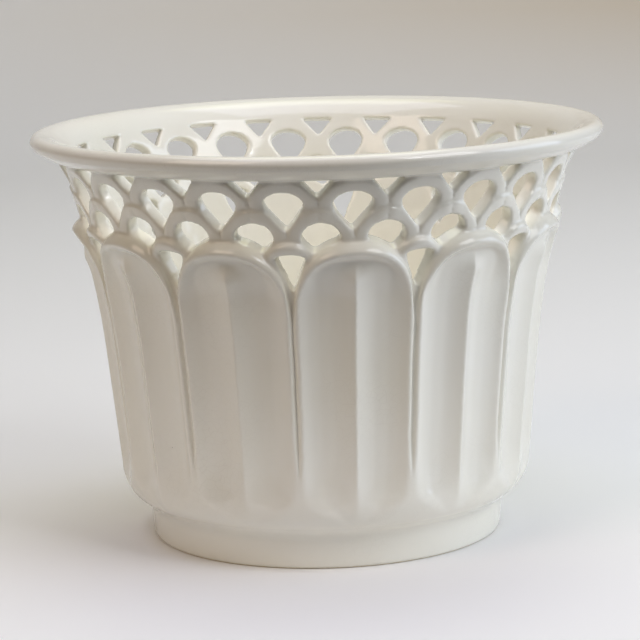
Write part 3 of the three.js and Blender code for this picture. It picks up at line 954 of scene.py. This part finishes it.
print(f"specks {2 * SPECK_SIZE:.2f} mm wide, bare edge about {BARE_EDGE} mm high")

# %% [markdown]
# The gloss varies a little, as a glaze that was dipped and drained does. A low wave in the
# surface, as a pressed and sponged wall has, bends the reflections, and a far finer one
# breaks up their edges.

# %% Gloss and surface
GLAZE_IOR = 1.55
SMEAR = 22.0
GLOSS_BEST, GLOSS_WORST = 0.04, 0.11
BARE_ROUGH = 0.7
WAVE, WAVE_HEIGHT = 17.0, 0.16
PEEL, PEEL_HEIGHT = 2.4, 0.004

smears = add(
    tree, "ShaderNodeTexNoise",
    {"Vector": place, "Scale": 1 / (SMEAR * MM), "Detail": 4.0},
)
glossy = add(
    tree, "ShaderNodeMapRange",
    {"Value": smears.outputs[0], "To Min": GLOSS_BEST, "To Max": GLOSS_WORST},
)
roughness = add(
    tree, "ShaderNodeMix",
    {0: bare.outputs[0], 2: glossy.outputs[0], 3: BARE_ROUGH},
)
waves = add(
    tree, "ShaderNodeTexNoise",
    {"Vector": place, "Scale": 1 / (WAVE * MM), "Detail": 1.0},
)
wavy = add(
    tree, "ShaderNodeBump",
    {"Height": waves.outputs[0], "Strength": 1.0, "Distance": WAVE_HEIGHT * MM},
)
peel = add(
    tree, "ShaderNodeTexNoise",
    {"Vector": place, "Scale": 1 / (PEEL * MM), "Detail": 1.0},
)
fine = add(
    tree, "ShaderNodeBump",
    {
        "Height": peel.outputs[0],
        "Strength": 1.0,
        "Distance": PEEL_HEIGHT * MM,
        "Normal": wavy.outputs[0],
    },
)
shader = add(
    tree, "ShaderNodeBsdfPrincipled",
    {
        "Base Color": colour.outputs[MIX_OUT],
        "Roughness": roughness.outputs[0],
        "IOR": GLAZE_IOR,
        "Normal": fine.outputs[0],
    },
)
add(tree, "ShaderNodeOutputMaterial", {"Surface": shader.outputs[0]})
mesh.materials.append(glaze)
print("nodes in the glaze:", len(tree.nodes))

# %% [markdown]
# The stage is one sheet of matt card: it lies flat as a table, sweeps up and stands as a
# backdrop, a little warmer and darker on the right. The part of the table in front of the
# pot is dark to every ray but the camera's. In the photograph little light comes up from
# there, and the shadows under the rim and the arches depend on that. The sheet is marked
# as stage, so it never counts as part of the pot.

# %% Table and backdrop
TABLE_FRONT, TABLE_BACK, TABLE_SIDE, SWEEP, BACKDROP_TOP = -2.0, 1.1, 3.0, 0.5, 2.5
LIT_FRONT, LIT_FADE = -0.145, 0.08
BACK_HALF, BACK_RISE = 0.3, 0.1
TABLE_WHITE, TABLE_UNSEEN = "#F8F8F8", "#4A443C"
CARD_ROUGH = 0.8
BACK_LEFT, BACK_RIGHT = "#F6F3EE", "#E4D8C6"


def card():
    """Matt white card, with the shades that the stage gives it."""
    material = bpy.data.materials.new("matt_white_card")
    material.use_nodes = True
    tree = material.node_tree
    tree.nodes.clear()
    place = add(tree, "ShaderNodeTexCoord").outputs["Object"]
    apart = add(tree, "ShaderNodeSeparateXYZ", {0: place}).outputs
    sideways = add(
        tree, "ShaderNodeMapRange",
        {"Value": apart["X"], "From Min": -BACK_HALF, "From Max": BACK_HALF},
    )
    behind = add(
        tree, "ShaderNodeMix",
        {0: sideways.outputs[0], MIX_A: linear(BACK_LEFT), MIX_B: linear(BACK_RIGHT)},
        data_type="RGBA",
    )
    upward = add(
        tree, "ShaderNodeMapRange",
        {"Value": apart["Z"], "From Min": 0.0, "From Max": BACK_RISE},
    )
    shown = add(
        tree, "ShaderNodeMix",
        {0: upward.outputs[0], MIX_A: linear(TABLE_WHITE), MIX_B: behind.outputs[MIX_OUT]},
        data_type="RGBA",
    )
    beyond = add(
        tree, "ShaderNodeMapRange",
        {"Value": apart["Y"], "From Min": LIT_FRONT, "From Max": LIT_FRONT - LIT_FADE},
    )
    camera_ray = add(tree, "ShaderNodeLightPath").outputs["Is Camera Ray"]
    unseen = add(tree, "ShaderNodeMath", {0: 1.0, 1: camera_ray}, operation="SUBTRACT")
    dark = add(
        tree, "ShaderNodeMath",
        {0: beyond.outputs[0], 1: unseen.outputs[0]},
        operation="MULTIPLY",
    )
    colour = add(
        tree, "ShaderNodeMix",
        {0: dark.outputs[0], MIX_A: shown.outputs[MIX_OUT], MIX_B: linear(TABLE_UNSEEN)},
        data_type="RGBA",
    )
    shader = add(
        tree, "ShaderNodeBsdfPrincipled", {"Base Color": colour.outputs[MIX_OUT], "Roughness": CARD_ROUGH}
    )
    add(tree, "ShaderNodeOutputMaterial", {"Surface": shader.outputs[0]})
    return material


def table_and_backdrop():
    """A sheet that lies flat, sweeps up and stands behind the pot."""
    path = [(TABLE_FRONT, 0.0)]
    for a in np.linspace(0, math.pi / 2, 13):
        path.append((TABLE_BACK + SWEEP * math.sin(a), SWEEP * (1 - math.cos(a))))
    path.append((TABLE_BACK + SWEEP, BACKDROP_TOP))
    corners = [(x, y, z) for y, z in path for x in (-TABLE_SIDE, TABLE_SIDE)]
    strips = [(2 * i, 2 * i + 1, 2 * i + 3, 2 * i + 2) for i in range(len(path) - 1)]
    sheet = bpy.data.meshes.new("table")
    sheet.from_pydata(corners, [], strips)
    sheet.shade_smooth()
    sheet.materials.append(card())
    table = bpy.data.objects.new("table", sheet)
    bpy.context.scene.collection.objects.link(table)
    table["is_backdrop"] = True
    return table


VIEW_TURN = math.radians(-8.0)
table = table_and_backdrop()
table.rotation_euler.z = VIEW_TURN
print("table turned to the camera by", round(math.degrees(VIEW_TURN), 1), "degrees")

# %% [markdown]
# The light on the pot is soft. It comes mostly from above and from the right, where it is
# cooler, and a warmer light answers from the left. Square area lamps give it, and a small
# one puts highlights on the ridges. The watts of the large lamps were found by rendering
# each one alone and weighing the results against named spots of the photograph, and were
# then raised a few percent. The small lamp's place and watts are given. The world adds almost
# nothing, and is pale only where the camera sees it past the card.

# %% Light
LAMP_TARGET = (0, 0, 0.08)
WORLD_DIM, WORLD_SEEN = "#202022", "#C8C8C6"


def soft_lamp(name, place, size, watts, colour):
    """A square area lamp that faces the pot."""
    lamp = bpy.data.lights.new(name, "AREA")
    lamp.shape, lamp.size, lamp.energy, lamp.color = "SQUARE", size, watts, linear(colour)[:3]
    thing = bpy.data.objects.new(name, lamp)
    thing.location = place
    facing = (Vector(LAMP_TARGET) - Vector(place)).to_track_quat("-Z", "Y")
    thing.rotation_euler = facing.to_euler()
    bpy.context.scene.collection.objects.link(thing)
    return thing


soft_lamp("overhead", (-0.05, 0.0, 1.7), 1.5, 13.2, "#EBECFF")
soft_lamp("overhead_back", (0.1, 0.6, 1.6), 0.9, 3.4, "#F8FFBE")
soft_lamp("right_high", (0.95, -0.95, 1.15), 0.9, 10.1, "#FAFBFF")
soft_lamp("right_low", (1.40, -0.15, 0.46), 0.9, 7.2, "#DDEAFF")
soft_lamp("glint", (0.62, -1.0, 0.95), 0.12, 0.5, "#F4F8FF")
soft_lamp("left", (-1.1, -0.8, 1.15), 0.9, 7.0, "#FFE8D2")
world = bpy.data.worlds.new("dim_world")
bpy.context.scene.world = world
world.use_nodes = True
tree = world.node_tree
tree.nodes.clear()
camera_ray = add(tree, "ShaderNodeLightPath").outputs["Is Camera Ray"]
tone = add(
    tree, "ShaderNodeMix",
    {0: camera_ray, MIX_A: linear(WORLD_DIM), MIX_B: linear(WORLD_SEEN)},
    data_type="RGBA",
)
glow = add(tree, "ShaderNodeBackground", {"Color": tone.outputs[MIX_OUT], "Strength": 1.0})
add(tree, "ShaderNodeOutputWorld", {"Surface": glow.outputs[0]})

# %% [markdown]
# The camera stands where the photograph was taken: about a metre away, a quarter of a metre
# above the table, looking a little down, with the tilt of a camera held by hand.

# %% Camera
CAMERA_AWAY, CAMERA_UP = 0.9754, 0.2541
CAMERA_PITCH, CAMERA_YAW, CAMERA_ROLL = math.radians(10.25), -0.0007, -0.0286
LENS, SENSOR = 149.9, 36.0
camera = bpy.data.cameras.new("camera")
camera.lens, camera.sensor_width = LENS, SENSOR
viewer = bpy.data.objects.new("camera", camera)
forward = Vector((
    math.sin(CAMERA_YAW) * math.cos(CAMERA_PITCH),
    math.cos(CAMERA_YAW) * math.cos(CAMERA_PITCH),
    -math.sin(CAMERA_PITCH),
))
level_right = forward.cross(Vector((0, 0, 1))).normalized()
level_up = level_right.cross(forward)
right = math.cos(CAMERA_ROLL) * level_right + math.sin(CAMERA_ROLL) * level_up
up = math.cos(CAMERA_ROLL) * level_up - math.sin(CAMERA_ROLL) * level_right
pose = Matrix((right, up, -forward)).transposed().to_4x4()
pose.translation = (0, -CAMERA_AWAY, CAMERA_UP)
viewer.matrix_world = Matrix.Rotation(VIEW_TURN, 4, "Z") @ pose
bpy.context.scene.collection.objects.link(viewer)
bpy.context.scene.camera = viewer
bpy.context.scene.view_settings.view_transform = "Standard"

# %% Measure the visual box, and finish
low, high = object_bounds()
print("visual box", [round(x / MM, 2) for x in (*low, *high)])
